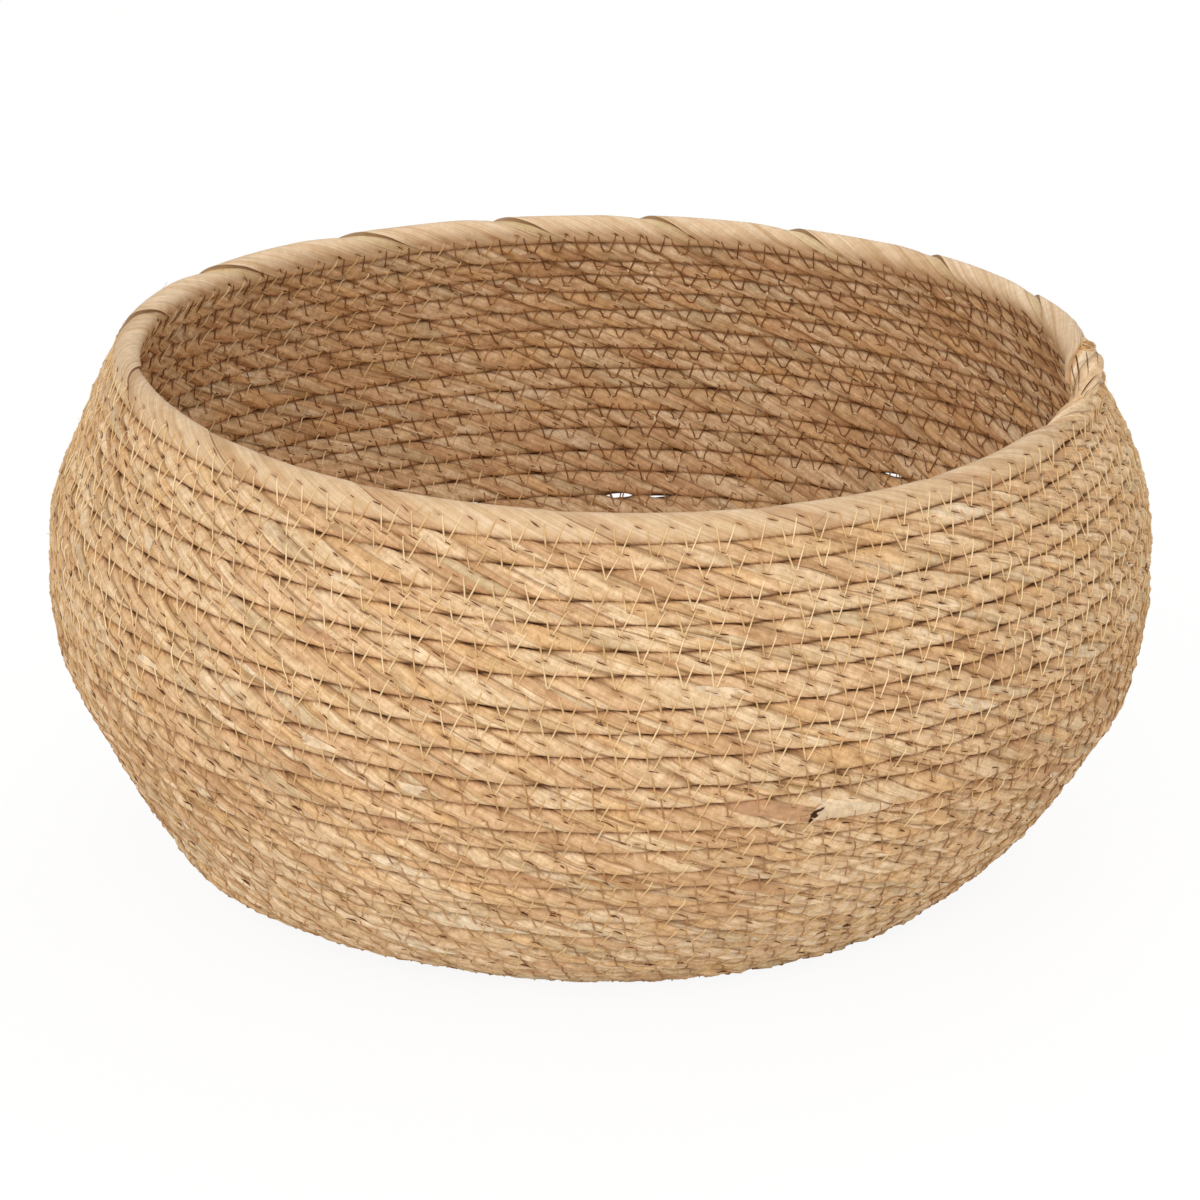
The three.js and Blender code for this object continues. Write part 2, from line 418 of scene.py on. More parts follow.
def new_piece(name, points, faces, layers, material):
    """A smooth mesh object from points and arrays of faces, each as wide as its faces have
    corners. layers holds the corners' UV maps by name. It rides on the basket."""
    mesh = bpy.data.meshes.new(name)
    corners = np.concatenate([part.ravel() for part in faces]).astype(np.int32)
    sizes = np.concatenate([np.full(len(part), part.shape[1]) for part in faces])
    mesh.vertices.add(len(points))
    mesh.vertices.foreach_set("co", np.ascontiguousarray(points, dtype=np.float32).ravel())
    mesh.loops.add(len(corners))
    mesh.loops.foreach_set("vertex_index", corners)
    mesh.polygons.add(len(sizes))
    mesh.polygons.foreach_set("loop_start", (np.cumsum(sizes) - sizes).astype(np.int32))
    mesh.update(calc_edges=True)
    for layer, places in layers.items():
        uv_map = mesh.uv_layers.new(name=layer)
        uv_map.uv.foreach_set("vector", np.ascontiguousarray(places, dtype=np.float32).ravel())
    mesh.shade_smooth()
    mesh.set_sharp_from_angle(angle=sharp_edge_angle)
    mesh.materials.append(material)
    piece = bpy.data.objects.new(name, mesh)
    bpy.context.scene.collection.objects.link(piece)
    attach(piece, "root")
    return piece


def add_values(piece, name, values):
    """Keeps a number at each point, for the material."""
    layer = piece.data.attributes.new(name, "FLOAT", "POINT")
    layer.data.foreach_set("value", np.ascontiguousarray(values, dtype=np.float32).ravel())


def quad_grid(rings, columns):
    """The ring and the column of each quad's four corners, as arrays over (ring, column, corner)."""
    ring = np.arange(rings - 1)[:, None, None] + np.array([0, 0, 1, 1])
    column = np.arange(columns)[None, :, None] + np.array([0, 1, 1, 0])
    return ring, column


def turned_over(quads):
    """The same quads facing the other way, each from the same first corner."""
    return np.roll(quads[:, ::-1], 1, axis=1)


def uv_places(u, v):
    """Rows of (u, v) from two arrays that broadcast to one shape."""
    return np.stack(np.broadcast_arrays(u, v), axis=-1).reshape(-1, 2)


def tube_piece(name, turn, points, columns_at, columns_end, shade, pull, material, bands):
    """A closed tube through rings of points: quads between the rings, and a fan over each end to its
    own middle point. It has the leaf map (place across the leaves, length along the rope), and how
    much light reaches each point, from 0 deep in a seam to 1, and how hard the stitches pull there.
    Its bake map cuts the skin into bands of equal length, one over the other, with the ends on top."""
    rings, columns = points.shape[:2]
    middles = np.stack([points[0].mean(axis=0), points[-1].mean(axis=0)])
    ring, column = quad_grid(rings, columns)
    quads = (ring * columns + column % columns).reshape(-1, 4)
    side = np.arange(columns)
    beside = (side + 1) % columns
    first, last = rings * columns, (rings - 1) * columns
    fans = np.vstack([
        np.column_stack([np.full(columns, first), beside, side]),
        np.column_stack([np.full(columns, first + 1), last + side, last + beside]),
    ])
    length = route(turn)[4]
    ends = np.repeat([[0.5, length[0]], [0.5, length[-1]]], 3 * columns, axis=0)
    per_band = math.ceil((rings - 1) / bands)
    band = ring[:, :, :1] // per_band
    across = np.arange(columns + 1) / columns * (1 - 2 * band_margin_share) + band_margin_share
    along = (ring - band * per_band) / per_band
    skin_map = uv_places(along, (band + across[column]) / bands * bands_top_share)
    left = np.arange(2 * columns)[:, None] / (2 * columns) + np.array([0, 0.4, 0]) / columns
    ends_map = uv_places(left, np.array([caps_low_share, caps_low_share, caps_high_share]))
    layers = {
        "leaf": np.vstack([uv_places(np.append(columns_at, columns_end)[column], length[ring]), ends]),
        "OFBake": np.vstack([skin_map, ends_map]),
    }
    points = np.vstack([points.reshape(-1, 3), middles])
    piece = new_piece(name, points, (quads, fans), layers, material)
    add_values(piece, "shade", np.append(shade.ravel(), [0.5, 0.5]))
    add_values(piece, "pull", np.append(pull.ravel(), [0, 0]))
    return piece


def rope_piece(name, start, end, material, bands=6, step=ring_step):
    """One length of the rope as a closed mesh, which also knows its side inside the basket."""
    run = route(end)[4] - route(start)[4]
    turn = np.linspace(start, end, math.ceil(run / step) + 1)
    place = (np.arange(strands)[:, None] + column_share[None, :]).ravel()
    angle = strand_angle(turn[:, None], place[None, :])
    points = rope_surface(turn[:, None], angle, np.broadcast_to(place, angle.shape))
    half, _, width = row_shape(turn[:, None])
    along = np.abs(section_reach(angle, width, half) * np.sin(angle))
    bare_top = (np.sin(angle) < 0) * (1 - eased(turn[:, None], *bare_top_turns))
    inside = eased(-np.cos(angle), -0.2, 0.4)
    # Painted shade: the leaf darkens towards the seams over a wider band inside, but not on the row's bare
    # top beside the tail.
    shade = np.maximum(eased(1 - along / half, -0.02, 0.09 + 0.06 * inside), bare_top)
    pull = np.clip(hole_depth(turn[:, None], angle), 0, 1)
    piece = tube_piece(name, turn, points, place, strands, shade, pull, material, bands)
    add_values(piece, "inside", np.append(inside.ravel(), [0, 0]))
    return piece


# The rope's leaf
# Dried cattail leaf is straw to tan, with greenish grey, pinkish brown and orange lengths,
# fine fibres along the leaf and small specks. Its folds and creases are darkened with painted shade.
leaf_tones = (
    (0.3, 206, 162, 118),
    (0.38, 226, 184, 140),
    (0.45, 233, 194, 150),
    (0.52, 244, 214, 175),
    (0.575, 234, 190, 138),
    (0.635, 218, 189, 149),
    (0.7, 242, 217, 183),
)
leaf_bump = 0.4 * mm
foot_tint = (1.065, 1.14, 1.23, 1.0)
foot_tint_low = 15 * mm
foot_tint_high = 80 * mm


def srgb(red, green, blue):
    """A colour written as it looks, from 0 to 255, in the linear values that shaders use."""
    share = np.array([red, green, blue]) / 255
    linear = np.where(share <= 0.04045, share / 12.92, ((share + 0.055) / 1.055) ** 2.4)
    return (*linear.tolist(), 1.0)


class Reading:
    """What a node gives. Readings add, subtract and multiply as numbers do, by Math nodes."""

    def __init__(self, socket):
        self.socket = socket
        self.tree = socket.id_data

    def maths(self, operation, *others):
        """A Math node on this reading and then the others."""
        return shader_node(self.tree, "Math", {"operation": operation}, dict(enumerate((self, *others))))

    def __add__(self, other):
        return self.maths("ADD", other)

    def __sub__(self, other):
        return self.maths("SUBTRACT", other)

    def __rsub__(self, other):
        return shader_node(self.tree, "Math", {"operation": "SUBTRACT"}, {0: other, 1: self})

    def __mul__(self, other):
        return self.maths("MULTIPLY", other)


def give(node, name, value):
    """Joins a reading to a node's input, or sets the input to a number or a colour."""
    if isinstance(value, Reading):
        node.id_data.links.new(value.socket, node.inputs[name])
    else:
        node.inputs[name].default_value = value


def shader_node(tree, kind, settings, inputs, output=0):
    """A new node with its properties and its inputs, and the reading of one of its outputs."""
    made = tree.nodes.new("ShaderNode" + kind)
    for name, value in settings.items():
        setattr(made, name, value)
    for name, value in inputs.items():
        give(made, name, value)
    return Reading(made.outputs[output])


def here_in(tree):
    """The point's place on the basket."""
    return shader_node(tree, "TexCoord", {}, {}, "Object")


def kept(tree, name):
    """A number kept at the mesh's points."""
    return shader_node(tree, "Attribute", {"attribute_name": name}, {}, "Fac")


def parts(place):
    """The three values of a place."""
    first = shader_node(place.tree, "SeparateXYZ", {}, {0: place})
    return [Reading(socket) for socket in first.socket.node.outputs]


def vector(tree, x, y, z):
    """Three values as one place."""
    return shader_node(tree, "CombineXYZ", {}, {0: x, 1: y, 2: z})


def remap(value, low, high, new_low=0.0, new_high=1.0):
    """value from low..high to new_low..new_high, held at both ends and eased between."""
    inputs = {"Value": value, "From Min": low, "From Max": high, "To Min": new_low, "To Max": new_high}
    return shader_node(value.tree, "MapRange", {"interpolation_type": "SMOOTHSTEP"}, inputs)


def blend(share, first, second, kind="MIX"):
    """Two colours mixed by share. One of them at least is a reading."""
    tree = next(part.tree for part in (first, second) if isinstance(part, Reading))
    settings = {"data_type": "RGBA", "blend_type": kind}
    return shader_node(tree, "Mix", settings, {0: share, 6: first, 7: second}, 2)


def times(colour, other):
    """A colour times another, channel by channel."""
    return blend(1.0, colour, other, "MULTIPLY")


def grain(place, scale, detail=2.0, roughness=0.5):
    """Noise at a place, about 0.3 to 0.7."""
    inputs = {"Vector": place, "Scale": scale, "Detail": detail, "Roughness": roughness}
    return shader_node(place.tree, "TexNoise", {}, inputs)


def ramp(share, stops):
    """A colour ramp through stops of (place, red, green, blue)."""
    made = shader_node(share.tree, "ValToRGB", {}, {0: share})
    elements = made.socket.node.color_ramp.elements
    while len(elements) < len(stops):
        elements.new(0.5)
    for element, (place, *colour) in zip(elements, stops):
        element.position = place
        element.color = srgb(*colour)
    return made


def shaded(colour, light):
    """A leaf's colour made lighter or darker: its dark parts turn brown and its light parts pale."""
    return times(colour, vector(light.tree, light, light.maths("POWER", 1.25), light.maths("POWER", 1.7)))


def new_material(name):
    """A material, its nodes and its shader."""
    material = bpy.data.materials.new(name)
    material.use_nodes = True
    return material, material.node_tree, material.node_tree.nodes["Principled BSDF"]


def finish_shader(shader, colour, roughness, specular, strength=None, distance=None, height=None):
    """The colour and the gloss of a material, and its bumps where it has some."""
    give(shader, "Base Color", colour)
    give(shader, "Roughness", roughness)
    give(shader, "Specular IOR Level", specular)
    if height:
        bump = {"Strength": strength, "Distance": distance, "Height": height}
        give(shader, "Normal", shader_node(height.tree, "Bump", {}, bump))


def twisted_leaf_material(name, tint):
    """Twisted leaves, from the leaf map: a tone for each leaf that changes along the rope, streaks
    along the fibres, painted shade in the creases, folds and seams, and darker leaf round the
    needle holes, painted shade in their dimples. The leaves at the foot are paler, and tint
    multiplies the colour."""
    material, tree, shader = new_material(name)
    place, length, _ = parts(shader_node(tree, "UVMap", {"uv_map": "leaf"}, {}))
    here = here_in(tree)
    pull = kept(tree, "pull")
    inside = kept(tree, "inside")
    strand = place.maths("FLOOR")
    across = place.maths("FRACT")
    wander = grain(vector(tree, strand * 5.7, length, 0.0), 14.0, 1.0)
    folded = across * 1.9 + wander * 1.6
    fold_edge = folded.maths("FRACT")
    own = strand * 7.3 + folded.maths("FLOOR") * 2.9
    colour = ramp(grain(vector(tree, own, length * 6.0, 3.0), 1.0, 1.5, 0.6), leaf_tones)
    edge = across.maths("MINIMUM", 1.0 - across)
    bunch = remap(grain(vector(tree, strand, length * 17.0, 5.0), 1.0), 0.47, 0.6)
    bunch = bunch * remap(edge, 0.02, 0.3, 1.0, 0.0)
    bunch = bunch.maths("MAXIMUM", remap(pull, 0.4, 1.0, 0.0, 0.35))
    fibre = grain(vector(tree, place * 14.0, length * 50.0, own), 1.0, 4.0, 0.7)
    contrast = bunch.maths("MULTIPLY_ADD", 2.0, 0.42) + inside * 0.25
    streak = (fibre - 0.5).maths("MULTIPLY_ADD", contrast, 1.0) - bunch * 0.16
    coarse = grain(vector(tree, place * 7.0, length * 40.0, own), 1.0, 2.0, 0.6)
    mottle = remap(grain(here, 420.0, 3.0, 0.7), 0.3, 0.7, 0.86, 1.1)
    colour = shaded(colour, streak * remap(coarse, 0.3, 0.7, 0.86, 1.1) * mottle)
    colour = blend(remap(grain(here, 16.0, 3.0, 0.6), 0.52, 0.7, 0.0, 0.3), colour, srgb(190, 138, 92))
    # Painted shade: the creases between the strands and the folds within them are darkened, and the same mask
    # lowers the bump.
    strength = remap(grain(vector(tree, strand, length * 40.0, 9.0), 1.0), 0.35, 0.6, 0.4, 1.0)
    crease = remap(edge, 0.0, 0.09, 1.0, 0.0) * strength
    fold_line = remap(fold_edge.maths("MINIMUM", 1.0 - fold_edge), 0.0, 0.06, 0.55, 0.0) * strength
    dark = crease.maths("MAXIMUM", fold_line)
    colour = blend(dark * 0.7, colour, srgb(132, 88, 48))
    # Painted shade in the dimples that the stitches draw in.
    colour = blend(remap(pull, 0.5, 1.0, 0.0, 0.3), colour, srgb(186, 132, 88))
    colour = blend(remap(grain(here, 900.0, 0.0), 0.74, 0.8, 0.0, 0.4), colour, srgb(150, 102, 64))
    # Painted shade deep in the seams, from the shade kept at the points.
    colour = blend((1.0 - kept(tree, "shade")) * 0.85, colour, srgb(122, 76, 38))
    low = remap(parts(here)[2], foot_tint_low, foot_tint_high, 1.0, 0.0)
    colour = times(blend(low, colour, times(colour, foot_tint)), tint)
    height = fibre * contrast - dark + coarse
    finish_shader(shader, colour, remap(fibre, 0.3, 0.7, 0.78, 0.55), 0.32, 0.55, leaf_bump, height)
    return material


rope_leaf = twisted_leaf_material("twisted_cattail_leaf", (1.0, 0.985, 0.955, 1.0))

# The base
# The rope starts in the middle with a tight curl and winds out flat. The floor has
# pressed its underside flat.
base_turn = 20
base_outer_turns = 2.0
base_middle_turns = 5.0
for name, start, end in (
    ("base_rope_inner", base_turn + base_middle_turns, last_turn + curl_turns),
    ("base_rope_middle", base_turn + base_outer_turns, base_turn + base_middle_turns),
    ("base_rope_outer", base_turn, base_turn + base_outer_turns),
):
    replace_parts(rope_piece(name, start, end, rope_leaf, 9, base_ring_step), "base_coil")

# The wall
# Nineteen more rows, one on the other: ten turn up and out to the belly, and nine lean
# in again to the rim. In the solids the two parts are nodes of their own.
belly_turn = 10
for row in range(1, base_turn):
    node = "upper_wall_coil" if row < belly_turn else "lower_wall_coil"
    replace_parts(rope_piece(f"wall_rope_row_{row:02d}", row, row + 1, rope_leaf), node)

# The rim's rope and its tail
# The top row is the same rope. Its end is laid down on the row below as a thin tail,
# whose leaves lie bare and pale.
tail_leaf = twisted_leaf_material("pale_tail_leaf", (1.07, 1.11, 1.14, 1.0))
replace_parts(rope_piece("rim_rope", 0, 1, rope_leaf), "rim_coil")
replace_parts(rope_piece("rope_tail", tail_start, 0, tail_leaf), "rim_coil")

# The rim's leaf
# One broad pale leaf is wound round the top row, about 62 mm to a turn. Each turn's
# edge stands on the turn before it, and a second, narrow and greenish leaf runs under
# that edge.
leaf_turns_around = 16.1
first_edge_angle = math.radians(19.6)
seen_edge_place = 0.878
bunched_at = math.radians(115)
bunched_angle = math.radians(35)
rim_leaf_half_width = 5.0 * mm
rim_leaf_over = 0.75 * mm
edge_dip = 1.15 * mm
second_edge_dip = 0.18 * mm
second_edge_place = 0.84
leaf_wave = 0.16 * mm
leaf_swell = 0.25 * mm
loose_until = 0.46
tight_from = 0.56
leaf_end_slant = 0.036
leaf_end_turns = 0.06
rim_leaf_bump = 0.25 * mm
rim_columns = np.array([
    0, 0.004, 0.03, 0.06, 0.1, 0.14, 0.18, 0.22, 0.26, 0.3, 0.34, 0.38, 0.42, 0.46, 0.5, 0.54, 0.58, 0.62,
    0.66, 0.69, 0.72, 0.75, 0.78, 0.81, 0.835, 0.845, 0.87, 0.9, 0.93, 0.96, 0.985, 0.996,
])
rim_leaf_tones = ((0.3, 211, 172, 127), (0.45, 229, 192, 148), (0.56, 237, 205, 165), (0.7, 221, 187, 146))


def leaf_winding(turn):
    """How often the rim leaf has gone round the rope: even turns from the first edge, drawn
    together at the back left, with drift."""
    azimuth = azimuth_at(turn)
    even = (azimuth - first_edge_angle) / (2 * np.pi) * leaf_turns_around
    bunched = 0.27 * np.exp(-(((azimuth - bunched_at) / bunched_angle) ** 2))
    return even + bunched + 0.16 * drift(turn, 1 / 9, 41) * eased(turn, 0.5, 0.6) + seen_edge_place


def rim_leaf_surface(turn, place, lift=0.0):
    """The broad leaf lies level for most of its width, then dips to where the next turn's edge
    stands on it, and steps once where the narrow leaf starts. It was drawn tighter along the
    front, the stitches draw it in too, and its end is cut aslant."""
    angle = 2 * np.pi * (place + leaf_winding(turn))
    half, _, _ = row_shape(turn)
    slack = 0.3 + 0.7 * eased(-turn, -tight_from, -loose_until)
    loose = slack * (0.35 + 0.65 * eased(-np.sin(angle), -0.1, 0.8))
    step = eased(place, second_edge_place - 0.004, second_edge_place + 0.004)
    dip = loose * (edge_dip * eased(place, 0.64, 0.97) + second_edge_dip * step)
    dip = dip + 0.7 * hole_dip * hole_depth(turn, angle)
    wave = leaf_wave * drift(turn + place * 0.02, 1 / 60, 42) * eased(place, 0, 0.2)
    swell = leaf_swell * drift(turn, 1 / 30, 43)
    reach = section_reach(angle, rim_leaf_half_width, half + rim_leaf_over) - dip + wave + swell + lift
    closed = eased(turn, rim_leaf_end - 0.002, rim_leaf_end + 0.006)
    closed = closed * (1 - eased(turn, rim_leaf_start - 0.012, rim_leaf_start))
    cut = 1 - eased(turn, rim_leaf_end, rim_leaf_end + leaf_end_turns)
    slant = leaf_end_slant * (0.5 - 0.5 * np.cos(angle)) * cut
    return around_row(turn - slant, angle, reach, 0.82 + 0.18 * closed), angle


def rim_leaf_material():
    """Smooth cream leaf with fine fibres along it and a reddish line, by the place across the leaf.
    Towards the back its greenish narrow leaf shows. Dark lines of painted shadow run along the
    edges, and painted shade darkens the needle dimples and the seams."""
    material, tree, shader = new_material("broad_rim_leaf")
    place, length, _ = parts(shader_node(tree, "UVMap", {"uv_map": "leaf"}, {}))
    here = here_in(tree)
    wander = grain(vector(tree, length, 0.0, 0.0), 9.0)
    colour = ramp(grain(vector(tree, place * 1.5, length, 2.0), 6.0, 3.0, 0.6), rim_leaf_tones)
    red_band = remap(place + wander * 0.16, 0.84, 0.98) * remap(wander, 0.35, 0.6, 0.3, 1.0)
    colour = blend(red_band * 0.5, colour, srgb(190, 136, 88))
    back = remap(parts(here)[1], -60 * mm, 60 * mm)
    green = ramp(wander, ((0.35, 234, 208, 160), (0.6, 218, 186, 136)))
    colour = blend(place.maths("GREATER_THAN", second_edge_place) * back * 0.85, colour, green)
    fibre = grain(vector(tree, place * 42.0, length * 30.0, 0.0), 1.0, 3.0, 0.6)
    colour = shaded(colour, remap(fibre, 0.3, 0.7, 0.86, 1.07))
    # Painted shadow: dark lines along the leaf's edge, and towards the back along the narrow leaf's edge,
    # where a raised edge stands over the leaf below.
    fold_line = remap((place - second_edge_place).maths("ABSOLUTE"), 0.0, 0.012, 0.75, 0.0)
    edge = remap(place, 0.976, 0.992).maths("MAXIMUM", fold_line * back)
    colour = blend(edge * 0.7, colour, srgb(126, 84, 52))
    mottle = remap(grain(here, 300.0, 3.0, 0.7), 0.3, 0.7, 0.92, 1.05)
    colour = shaded(colour, mottle * back.maths("MULTIPLY_ADD", 0.15, 0.97))
    # Painted shade in the needle dimples and deep by the seams.
    colour = blend(remap(kept(tree, "pull"), 0.4, 1.0, 0.0, 0.45), colour, srgb(186, 132, 88))
    colour = blend((1.0 - kept(tree, "shade")) * 0.8, colour, srgb(118, 74, 42))
    finish_shader(shader, colour, remap(fibre, 0.3, 0.7, 0.6, 0.42), 0.4, 0.35, rim_leaf_bump, fibre)
    return material


rim_run = route(rim_leaf_start)[4] - route(rim_leaf_end)[4]
rim_turn = np.linspace(rim_leaf_end, rim_leaf_start, math.ceil(rim_run / ring_step) + 1)
rim_points, rim_angle = rim_leaf_surface(rim_turn[:, None], rim_columns[None, :])
rim_half = row_shape(rim_turn[:, None])[0] + rim_leaf_over
rim_along = section_reach(rim_angle, rim_leaf_half_width, rim_half) * np.sin(rim_angle)
rim_leaf = tube_piece(
    "rim_leaf", rim_turn, rim_points, rim_columns, 1.0, eased(1 - rim_along / rim_half, 0.0, 0.1),
    np.clip(hole_depth(rim_turn[:, None], rim_angle), 0, 1), rim_leaf_material(), 6,
)
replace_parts(rim_leaf, "rim_wrap")

# The stitching
# A thin golden thread sews every seam. Outside it shows as slanting legs that cross the
# seam in separate Vs; inside as narrow cups, brown where no light reaches them.
thread_radius = 0.27 * mm
inner_thread_radius = 0.3 * mm
rim_pierced_share = 1.75
thread_sunk = -0.5
thread_lifts = (0.1, 0.16, 0.12)
cell_margin_share = 0.1
thread_tones = ((0.0, 138, 90, 50), (0.4, 194, 148, 96), (0.75, 232, 194, 136), (1.0, 250, 224, 176))


def skin(row, angle, lift):
    """A point on what the thread lies on: the rim's leaf where it covers the rope, or the rope."""
    leaf, _ = rim_leaf_surface(row, (angle / (2 * np.pi) - leaf_winding(row)) % 1, lift)
    covered = (row > rim_leaf_end) & (row < rim_leaf_start)
    return np.where(covered[..., None], leaf, rope_surface(row, angle, lift=lift))


def on_row(row, along, side, lift):
    """Points on a row's skin, along below its middle, on the outer side (1) or the inner side (-1)."""
    half, _, width = row_shape(row)
    share = np.minimum(np.abs(along / (half + seam_contact)), 0.999)
    outward = side * width * (1 - share ** section_power) ** (1 / section_power)
    return skin(row, np.arctan2(along, outward), lift)


def near_seam(turn, across, above, side, lift):
    """Points on the rope by the seam below a row: across along the seam, above it or below it
    where negative, on the outer side (1) or the inner side (-1). Inside, the rim is pierced
    higher up."""
    above = np.where((side < 0) & (turn < 1) & (above > 0), rim_pierced_share * above, above)
    row = turn + (above < 0)
    row = row + across / (2 * np.pi * np.maximum(route(row)[0], rope_start_radius))
    half, _, _ = row_shape(row)
    return on_row(row, np.where(above > 0, half - above, -half - above), side, lift)


def outward_at(turn):
    """The direction out of the basket at a row."""
    _, _, down_r, down_z, _ = route(turn)
    azimuth = azimuth_at(turn)
    return np.stack([-down_z * np.cos(azimuth), -down_z * np.sin(azimuth), down_r], axis=-1)


def thread_tubes(lines, outward, radius):
    """Four-sided tubes along many lines at once: each ring is a square round its point, square to
    the line's direction there."""
    ahead = np.gradient(lines, axis=1)
    ahead /= np.linalg.norm(ahead, axis=-1, keepdims=True) + 1e-12
    across = np.cross(ahead, outward[:, None, :])
    across /= np.linalg.norm(across, axis=-1, keepdims=True) + 1e-12
    up = np.cross(across, ahead)
    turned = np.arange(4) * np.pi / 2
    ring = np.cos(turned)[:, None] * across[:, :, None, :] + np.sin(turned)[:, None] * up[:, :, None, :]
    return lines[:, :, None, :] + radius * ring


def in_cells(count, u, v, margin):
    """The bake map of many small like parts: each has a cell of a square table, and u and v from 0
    to 1 say where in it, within the margin."""
    side = math.ceil(math.sqrt(count))
    cell = np.arange(count)[:, None, None]
    inner = 1 - 2 * margin
    return uv_places(cell % side + margin + inner * u, cell // side + margin + inner * v) / side


def quads_in_cells(count, quads):
    """The bake map of many like parts whose quads stand side by side in the part's cell."""
    part = np.arange(quads)[:, None]
    return in_cells(count, (part + np.array([0, 0, 1, 1])) / quads, np.array([0, 1, 1, 0]), cell_margin_share)


def many(count, points_each, faces):
    """The faces of one part, repeated for many parts."""
    return (np.arange(count)[:, None, None] * points_each + faces).reshape(-1, faces.shape[-1])


def thread_piece(name, lines, outward, radius, gleam, material):
    """Many short threads as one piece, each a four-sided tube with a quad over each end. gleam sets
    each ring's colour from 0, brown, to 1, gold: painted light and shade on the stitches, and a
    random tone on the tangled loops and loose fibres."""
    count, rings = lines.shape[:2]
    points = thread_tubes(lines, outward, radius).reshape(-1, 3)
    points[:, 2] = np.maximum(points[:, 2], 0)
    ring, column = quad_grid(rings, 4)
    sides = turned_over((ring * 4 + column % 4).reshape(-1, 4))
    last = rings * 4 - 4
    quads = np.vstack([sides, [[0, 1, 2, 3], [last + 3, last + 2, last + 1, last]]])
    layers = {"OFBake": quads_in_cells(count, len(quads))}
    piece = new_piece(name, points, (many(count, rings * 4, quads),), layers, material)
    add_values(piece, "gleam", np.repeat(np.broadcast_to(gleam, (count, rings)), 4))
    return piece


def seam_stitches(first, last):
    """The turn at which each whole stitch along the seams lies."""
    turns = np.linspace(first, last, 20000)
    counts = stitch_count(turns)
    return np.interp(np.arange(math.ceil(counts[0]), math.floor(counts[-1])), counts, turns)


def follow_seam(turns, steps, side, seed, slack, knots):
    """Taut threads through steps of (across, above, lift) in mm by the seam. Each is moved a little
    at its knots, and evenly between them, so that its legs stay straight."""
    chance = np.random.default_rng(seed)
    across, above, lift = np.array(steps).T
    gone = np.append(0, np.cumsum(np.hypot(np.diff(across), np.diff(above))))
    share = gone / gone[-1] * (knots - 1)
    weight = np.maximum(1 - np.abs(share - np.arange(knots)[:, None]), 0)
    moved = across + slack * chance.uniform(-1, 1, (len(turns), knots)) @ weight
    raised = above + 0.45 * slack * chance.uniform(-1, 1, (len(turns), knots)) @ weight
    return near_seam(turns[:, None], moved * mm, raised * mm, side, lift * mm)


def thread_material():
    """Golden twisted thread, brown where it lies in its own shadow, uneven from place to place."""
    material, tree, shader = new_material("golden_thread")
    uneven = (grain(here_in(tree), 260.0, 1.0) - 0.5) * 0.7
    give(shader, "Base Color", ramp(kept(tree, "gleam") + uneven, thread_tones))
    give(shader, "Roughness", 0.5)
    return material


def leg(top_across, top, bottom_across, bottom, levels):
    """A leg's steps in mm: it goes in at both ends, lies on the leaf between them, and spans the
    groove of the seam."""
    slope = (top_across - bottom_across) / (top - bottom)
    at_top, between, at_bottom = thread_lifts
    steps = [(top_across + 0.3 * slope, top + 0.6, thread_sunk), (top_across, top, at_top)]
    steps += [(bottom_across + slope * (level - bottom), level, between) for level in levels]
    return steps + [(bottom_across, bottom, at_bottom), (bottom_across, bottom - 0.5, thread_sunk)]


leg_levels = (3.2, 2.0, -2.0)
cup_levels = (1.5, -1.7, -2.8)
left_leg = leg(-2.1, 4.5, -0.6, -3.2, leg_levels)
right_leg = leg(4.3, 4.6, 0.6, -3.2, leg_levels)
cup = leg(-3.5, 2.5, -1.0, -3.6, cup_levels)[:-1] + leg(3.3, 2.5, 0.7, -3.7, cup_levels)[-2::-1]
cup_half = len(cup) // 2
sewn_parts = (("upper", 0.02, 10.0), ("lower", 10.0, 20.0), ("base", 20.0, last_turn - 1.05))
golden_thread = thread_material()
for part, first, last in sewn_parts:
    turns = seam_stitches(first, last)
    chance = np.random.default_rng(54).uniform(-0.18, 0.18, len(turns))
    outward = outward_at(turns + 0.5)
    to_right = np.cos(azimuth_at(turns))
    legs = np.vstack([
        follow_seam(turns, left_leg, 1, 51, 0.6, 2),
        follow_seam(turns, right_leg, 1, 52, 0.6, 2),
    ])
    # Painted light on the outer legs: a painted highlight on the legs that catch the light and painted shade
    # on the others, by each leg's lean and the side of the basket; the lower rows get less, and chance makes
    # it uneven.
    dimmer = eased(turns, 7.5, 11)
    left_gleam = 0.8 - 0.16 * np.clip(to_right, -0.2, 0.8) - 0.38 * dimmer + chance
    right_gleam = 0.86 + 0.1 * np.clip(to_right, -0.8, 0.4) - (0.1 + 0.2 * np.abs(to_right)) * dimmer + chance
    gleam = np.append(left_gleam, right_gleam)[:, None]
    both = np.vstack([outward, outward])
    thread_piece(f"outer_stitches_{part}", legs, both, thread_radius, gleam, golden_thread)
    cups = follow_seam(turns, cup, -1, 53, 0.65, 3)
    # Painted light on the inner cups: one half of each cup gets a painted highlight, strongest on the left of
    # the basket, the other half stays brown in painted shade, and the lower rows get more light.
    low = 0.35 * eased(turns, 10.5, 14.5)
    lit = 0.1 + 0.75 * eased(-to_right, -0.05, 0.5) + low + chance
    unlit = 0.06 + low + chance
    gleam = np.column_stack([lit] * cup_half + [unlit] * cup_half)
    thread_piece(f"inner_stitches_{part}", cups, -outward, inner_thread_radius, gleam, golden_thread)

